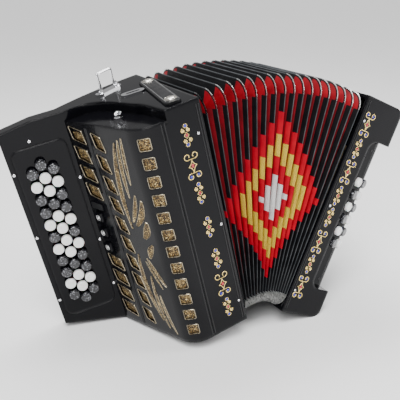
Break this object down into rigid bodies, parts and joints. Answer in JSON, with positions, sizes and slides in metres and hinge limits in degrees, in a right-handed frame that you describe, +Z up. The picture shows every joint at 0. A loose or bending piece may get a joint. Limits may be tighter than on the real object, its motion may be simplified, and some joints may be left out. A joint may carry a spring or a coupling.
{
  "type": "button accordion",
  "caption": "Diatonic button accordion with a fingerboard of treble buttons, a pierced grille, fan-folded bellows and a bass end with a hand strap.",
  "frame": {"origin": "on the floor, under the middle of the whole instrument's box", "axes": "+Z up, +X from the treble end to the bass end, -Y is the front that faces the audience"},
  "size_m": [0.5078, 0.1704, 0.3488],
  "materials": {
    "black_celluloid": "polished black celluloid over wood",
    "black_enamel_grille": "gloss black enamel on aluminium sheet",
    "pearl_white_button": "white pearl",
    "crystal_black_button": "glassy black",
    "register_black": "gloss black with a metal badge",
    "chrome": "polished chrome",
    "steel": "drawn steel",
    "wood": "plain maple and spruce",
    "black_leather": "smooth black leather",
    "bellows_cloth": "folded card under black and red cloth with metal corners"
  },
  "bodies": {
    "treble_end": {"treble_casing": "black_celluloid", "fingerboard_plate": "black_celluloid", "treble_grille": "black_enamel_grille", "treble_pallet_board": "wood", "key_axle": "steel", "treble_reed_blocks": "wood", "strap_bracket": "chrome", "slot_plate": "chrome", "bellows_strap": "black_leather", "bellows": "bellows_cloth"},
    "bass_end": {"bass_casing": "black_celluloid", "bass_button_board": "black_celluloid", "bass_end_cover": "black_celluloid", "bass_reed_blocks": "wood", "hand_strap": "black_leather"},
    "key_01": {"treble_key_01": "crystal_black_button"},
    "key_02": {"treble_key_02": "pearl_white_button"},
    "key_03": {"treble_key_03": "crystal_black_button"},
    "key_04": {"treble_key_04": "crystal_black_button"},
    "key_05": {"treble_key_05": "pearl_white_button"},
    "key_06": {"treble_key_06": "crystal_black_button"},
    "key_07": {"treble_key_07": "pearl_white_button"},
    "key_08": {"treble_key_08": "crystal_black_button"},
    "key_09": {"treble_key_09": "crystal_black_button"},
    "key_10": {"treble_key_10": "pearl_white_button"},
    "key_11": {"treble_key_11": "crystal_black_button"},
    "key_12": {"treble_key_12": "crystal_black_button"},
    "key_13": {"treble_key_13": "pearl_white_button"},
    "key_14": {"treble_key_14": "pearl_white_button"},
    "key_15": {"treble_key_15": "crystal_black_button"},
    "key_16": {"treble_key_16": "pearl_white_button"},
    "key_17": {"treble_key_17": "pearl_white_button"},
    "key_18": {"treble_key_18": "pearl_white_button"},
    "key_19": {"treble_key_19": "pearl_white_button"},
    "key_20": {"treble_key_20": "crystal_black_button"},
    "key_21": {"treble_key_21": "pearl_white_button"},
    "key_22": {"treble_key_22": "pearl_white_button"},
    "key_23": {"treble_key_23": "crystal_black_button"},
    "key_24": {"treble_key_24": "crystal_black_button"},
    "key_25": {"treble_key_25": "pearl_white_button"},
    "key_26": {"treble_key_26": "crystal_black_button"},
    "key_27": {"treble_key_27": "crystal_black_button"},
    "key_28": {"treble_key_28": "pearl_white_button"},
    "key_29": {"treble_key_29": "crystal_black_button"},
    "key_30": {"treble_key_30": "pearl_white_button"},
    "key_31": {"treble_key_31": "crystal_black_button"},
    "key_32": {"treble_key_32": "crystal_black_button"},
    "key_33": {"treble_key_33": "pearl_white_button"},
    "key_34": {"treble_key_34": "crystal_black_button"},
    "register_1": {"register_switch_1": "register_black"},
    "register_2": {"register_switch_2": "register_black"},
    "register_3": {"register_switch_3": "register_black"},
    "strap_loop": {"strap_loop": "chrome"},
    "bass_pair_1": {"bass_buttons_1": "pearl_white_button"},
    "bass_pair_2": {"bass_buttons_2": "pearl_white_button"},
    "bass_pair_3": {"bass_buttons_3": "pearl_white_button"},
    "bass_pair_4": {"bass_buttons_4": "pearl_white_button"},
    "bass_pair_5": {"bass_buttons_5": "pearl_white_button"},
    "bass_pair_6": {"bass_buttons_6": "pearl_white_button"},
    "air_button": {"air_button": "chrome"}
  },
  "joints": [
    {"name": "bellows_fan", "type": "hinge", "parent": "treble_end", "child": "bass_end", "pos_m": [0.03927, 0.00022, 0.02677], "axis": [0, 1, 0], "range_deg": [-37.5, 12], "deforming": ["bellows"]},
    {"name": "key_01_press", "type": "hinge", "parent": "treble_end", "child": "key_01", "pos_m": [-0.14059, 0.04753, 0.25165], "axis": [0.2283, 0, -0.9736], "range_deg": [0, 2.17], "stiffness_Nm_per_rad": 0.4, "springref_deg": -6.88},
    {"name": "key_02_press", "type": "hinge", "parent": "treble_end", "child": "key_02", "pos_m": [-0.13648, 0.04753, 0.23413], "axis": [0.2283, 0, -0.9736], "range_deg": [0, 2.17], "stiffness_Nm_per_rad": 0.4, "springref_deg": -6.88},
    {"name": "key_03_press", "type": "hinge", "parent": "treble_end", "child": "key_03", "pos_m": [-0.13237, 0.04753, 0.2166], "axis": [0.2283, 0, -0.9736], "range_deg": [0, 2.17], "stiffness_Nm_per_rad": 0.4, "springref_deg": -6.88},
    {"name": "key_04_press", "type": "hinge", "parent": "treble_end", "child": "key_04", "pos_m": [-0.12826, 0.04753, 0.19908], "axis": [0.2283, 0, -0.9736], "range_deg": [0, 2.17], "stiffness_Nm_per_rad": 0.4, "springref_deg": -6.88},
    {"name": "key_05_press", "type": "hinge", "parent": "treble_end", "child": "key_05", "pos_m": [-0.12415, 0.04753, 0.18155], "axis": [0.2283, 0, -0.9736], "range_deg": [0, 2.17], "stiffness_Nm_per_rad": 0.4, "springref_deg": -6.88},
    {"name": "key_06_press", "type": "hinge", "parent": "treble_end", "child": "key_06", "pos_m": [-0.12004, 0.04753, 0.16403], "axis": [0.2283, 0, -0.9736], "range_deg": [0, 2.17], "stiffness_Nm_per_rad": 0.4, "springref_deg": -6.88},
    {"name": "key_07_press", "type": "hinge", "parent": "treble_end", "child": "key_07", "pos_m": [-0.11593, 0.04753, 0.1465], "axis": [0.2283, 0, -0.9736], "range_deg": [0, 2.17], "stiffness_Nm_per_rad": 0.4, "springref_deg": -6.88},
    {"name": "key_08_press", "type": "hinge", "parent": "treble_end", "child": "key_08", "pos_m": [-0.11182, 0.04753, 0.12898], "axis": [0.2283, 0, -0.9736], "range_deg": [0, 2.17], "stiffness_Nm_per_rad": 0.4, "springref_deg": -6.88},
    {"name": "key_09_press", "type": "hinge", "parent": "treble_end", "child": "key_09", "pos_m": [-0.10772, 0.04753, 0.11145], "axis": [0.2283, 0, -0.9736], "range_deg": [0, 2.17], "stiffness_Nm_per_rad": 0.4, "springref_deg": -6.88},
    {"name": "key_10_press", "type": "hinge", "parent": "treble_end", "child": "key_10", "pos_m": [-0.10361, 0.04753, 0.09393], "axis": [0.2283, 0, -0.9736], "range_deg": [0, 2.17], "stiffness_Nm_per_rad": 0.4, "springref_deg": -6.88},
    {"name": "key_11_press", "type": "hinge", "parent": "treble_end", "child": "key_11", "pos_m": [-0.0995, 0.04753, 0.07641], "axis": [0.2283, 0, -0.9736], "range_deg": [0, 2.17], "stiffness_Nm_per_rad": 0.4, "springref_deg": -6.88},
    {"name": "key_12_press", "type": "hinge", "parent": "treble_end", "child": "key_12", "pos_m": [-0.14162, 0.04753, 0.25603], "axis": [0.2283, 0, -0.9736], "range_deg": [0, 2.6], "stiffness_Nm_per_rad": 0.4, "springref_deg": -6.88},
    {"name": "key_13_press", "type": "hinge", "parent": "treble_end", "child": "key_13", "pos_m": [-0.13751, 0.04753, 0.23851], "axis": [0.2283, 0, -0.9736], "range_deg": [0, 2.6], "stiffness_Nm_per_rad": 0.4, "springref_deg": -6.88},
    {"name": "key_14_press", "type": "hinge", "parent": "treble_end", "child": "key_14", "pos_m": [-0.1334, 0.04753, 0.22098], "axis": [0.2283, 0, -0.9736], "range_deg": [0, 2.6], "stiffness_Nm_per_rad": 0.4, "springref_deg": -6.88},
    {"name": "key_15_press", "type": "hinge", "parent": "treble_end", "child": "key_15", "pos_m": [-0.12929, 0.04753, 0.20346], "axis": [0.2283, 0, -0.9736], "range_deg": [0, 2.6], "stiffness_Nm_per_rad": 0.4, "springref_deg": -6.88},
    {"name": "key_16_press", "type": "hinge", "parent": "treble_end", "child": "key_16", "pos_m": [-0.12518, 0.04753, 0.18593], "axis": [0.2283, 0, -0.9736], "range_deg": [0, 2.6], "stiffness_Nm_per_rad": 0.4, "springref_deg": -6.88},
    {"name": "key_17_press", "type": "hinge", "parent": "treble_end", "child": "key_17", "pos_m": [-0.12107, 0.04753, 0.16841], "axis": [0.2283, 0, -0.9736], "range_deg": [0, 2.6], "stiffness_Nm_per_rad": 0.4, "springref_deg": -6.88},
    {"name": "key_18_press", "type": "hinge", "parent": "treble_end", "child": "key_18", "pos_m": [-0.11696, 0.04753, 0.15089], "axis": [0.2283, 0, -0.9736], "range_deg": [0, 2.6], "stiffness_Nm_per_rad": 0.4, "springref_deg": -6.88},
    {"name": "key_19_press", "type": "hinge", "parent": "treble_end", "child": "key_19", "pos_m": [-0.11285, 0.04753, 0.13336], "axis": [0.2283, 0, -0.9736], "range_deg": [0, 2.6], "stiffness_Nm_per_rad": 0.4, "springref_deg": -6.88},
    {"name": "key_20_press", "type": "hinge", "parent": "treble_end", "child": "key_20", "pos_m": [-0.10874, 0.04753, 0.11584], "axis": [0.2283, 0, -0.9736], "range_deg": [0, 2.6], "stiffness_Nm_per_rad": 0.4, "springref_deg": -6.88},
    {"name": "key_21_press", "type": "hinge", "parent": "treble_end", "child": "key_21", "pos_m": [-0.10463, 0.04753, 0.09831], "axis": [0.2283, 0, -0.9736], "range_deg": [0, 2.6], "stiffness_Nm_per_rad": 0.4, "springref_deg": -6.88},
    {"name": "key_22_press", "type": "hinge", "parent": "treble_end", "child": "key_22", "pos_m": [-0.10053, 0.04753, 0.08079], "axis": [0.2283, 0, -0.9736], "range_deg": [0, 2.6], "stiffness_Nm_per_rad": 0.4, "springref_deg": -6.88},
    {"name": "key_23_press", "type": "hinge", "parent": "treble_end", "child": "key_23", "pos_m": [-0.09642, 0.04753, 0.06326], "axis": [0.2283, 0, -0.9736], "range_deg": [0, 2.6], "stiffness_Nm_per_rad": 0.4, "springref_deg": -6.88},
    {"name": "key_24_press", "type": "hinge", "parent": "treble_end", "child": "key_24", "pos_m": [-0.13853, 0.04753, 0.24289], "axis": [0.2283, 0, -0.9736], "range_deg": [0, 3.27], "stiffness_Nm_per_rad": 0.4, "springref_deg": -6.88},
    {"name": "key_25_press", "type": "hinge", "parent": "treble_end", "child": "key_25", "pos_m": [-0.13442, 0.04753, 0.22537], "axis": [0.2283, 0, -0.9736], "range_deg": [0, 3.27], "stiffness_Nm_per_rad": 0.4, "springref_deg": -6.88},
    {"name": "key_26_press", "type": "hinge", "parent": "treble_end", "child": "key_26", "pos_m": [-0.13032, 0.04753, 0.20784], "axis": [0.2283, 0, -0.9736], "range_deg": [0, 3.27], "stiffness_Nm_per_rad": 0.4, "springref_deg": -6.88},
    {"name": "key_27_press", "type": "hinge", "parent": "treble_end", "child": "key_27", "pos_m": [-0.12621, 0.04753, 0.19032], "axis": [0.2283, 0, -0.9736], "range_deg": [0, 3.27], "stiffness_Nm_per_rad": 0.4, "springref_deg": -6.88},
    {"name": "key_28_press", "type": "hinge", "parent": "treble_end", "child": "key_28", "pos_m": [-0.1221, 0.04753, 0.17279], "axis": [0.2283, 0, -0.9736], "range_deg": [0, 3.27], "stiffness_Nm_per_rad": 0.4, "springref_deg": -6.88},
    {"name": "key_29_press", "type": "hinge", "parent": "treble_end", "child": "key_29", "pos_m": [-0.11799, 0.04753, 0.15527], "axis": [0.2283, 0, -0.9736], "range_deg": [0, 3.27], "stiffness_Nm_per_rad": 0.4, "springref_deg": -6.88},
    {"name": "key_30_press", "type": "hinge", "parent": "treble_end", "child": "key_30", "pos_m": [-0.11388, 0.04753, 0.13774], "axis": [0.2283, 0, -0.9736], "range_deg": [0, 3.27], "stiffness_Nm_per_rad": 0.4, "springref_deg": -6.88},
    {"name": "key_31_press", "type": "hinge", "parent": "treble_end", "child": "key_31", "pos_m": [-0.10977, 0.04753, 0.12022], "axis": [0.2283, 0, -0.9736], "range_deg": [0, 3.27], "stiffness_Nm_per_rad": 0.4, "springref_deg": -6.88},
    {"name": "key_32_press", "type": "hinge", "parent": "treble_end", "child": "key_32", "pos_m": [-0.10566, 0.04753, 0.10269], "axis": [0.2283, 0, -0.9736], "range_deg": [0, 3.27], "stiffness_Nm_per_rad": 0.4, "springref_deg": -6.88},
    {"name": "key_33_press", "type": "hinge", "parent": "treble_end", "child": "key_33", "pos_m": [-0.10155, 0.04753, 0.08517], "axis": [0.2283, 0, -0.9736], "range_deg": [0, 3.27], "stiffness_Nm_per_rad": 0.4, "springref_deg": -6.88},
    {"name": "key_34_press", "type": "hinge", "parent": "treble_end", "child": "key_34", "pos_m": [-0.09744, 0.04753, 0.06764], "axis": [0.2283, 0, -0.9736], "range_deg": [0, 3.27], "stiffness_Nm_per_rad": 0.4, "springref_deg": -6.88},
    {"name": "register_1_press", "type": "slide", "parent": "treble_end", "child": "register_1", "axis": [0.9223, 0.3203, 0.2163], "range_m": [0, 0.003], "stiffness_N_per_m": 300, "springref_m": -0.003},
    {"name": "register_2_press", "type": "slide", "parent": "treble_end", "child": "register_2", "axis": [0.9223, 0.3203, 0.2163], "range_m": [0, 0.003], "stiffness_N_per_m": 300, "springref_m": -0.003},
    {"name": "register_3_press", "type": "slide", "parent": "treble_end", "child": "register_3", "axis": [0.9223, 0.3203, 0.2163], "range_m": [0, 0.003], "stiffness_N_per_m": 300, "springref_m": -0.003},
    {"name": "strap_loop_swing", "type": "hinge", "parent": "treble_end", "child": "strap_loop", "pos_m": [-0.11101, 0.05722, 0.32381], "axis": [0.9206, 0.3256, 0.2158], "range_deg": [-84, 84]},
    {"name": "bass_pair_1_press", "type": "slide", "parent": "bass_end", "child": "bass_pair_1", "axis": [-0.3296, 0.9323, 0.1488], "range_m": [0, 0.003], "stiffness_N_per_m": 300, "springref_m": -0.003},
    {"name": "bass_pair_2_press", "type": "slide", "parent": "bass_end", "child": "bass_pair_2", "axis": [-0.3296, 0.9323, 0.1488], "range_m": [0, 0.003], "stiffness_N_per_m": 300, "springref_m": -0.003},
    {"name": "bass_pair_3_press", "type": "slide", "parent": "bass_end", "child": "bass_pair_3", "axis": [-0.3296, 0.9323, 0.1488], "range_m": [0, 0.003], "stiffness_N_per_m": 300, "springref_m": -0.003},
    {"name": "bass_pair_4_press", "type": "slide", "parent": "bass_end", "child": "bass_pair_4", "axis": [-0.3296, 0.9323, 0.1488], "range_m": [0, 0.003], "stiffness_N_per_m": 300, "springref_m": -0.003},
    {"name": "bass_pair_5_press", "type": "slide", "parent": "bass_end", "child": "bass_pair_5", "axis": [-0.3296, 0.9323, 0.1488], "range_m": [0, 0.003], "stiffness_N_per_m": 300, "springref_m": -0.003},
    {"name": "bass_pair_6_press", "type": "slide", "parent": "bass_end", "child": "bass_pair_6", "axis": [-0.3296, 0.9323, 0.1488], "range_m": [0, 0.003], "stiffness_N_per_m": 300, "springref_m": -0.003},
    {"name": "air_button_press", "type": "slide", "parent": "bass_end", "child": "air_button", "axis": [-0.9114, 0, 0.4116], "range_m": [0, 0.006], "stiffness_N_per_m": 250, "springref_m": -0.006}
  ]
}
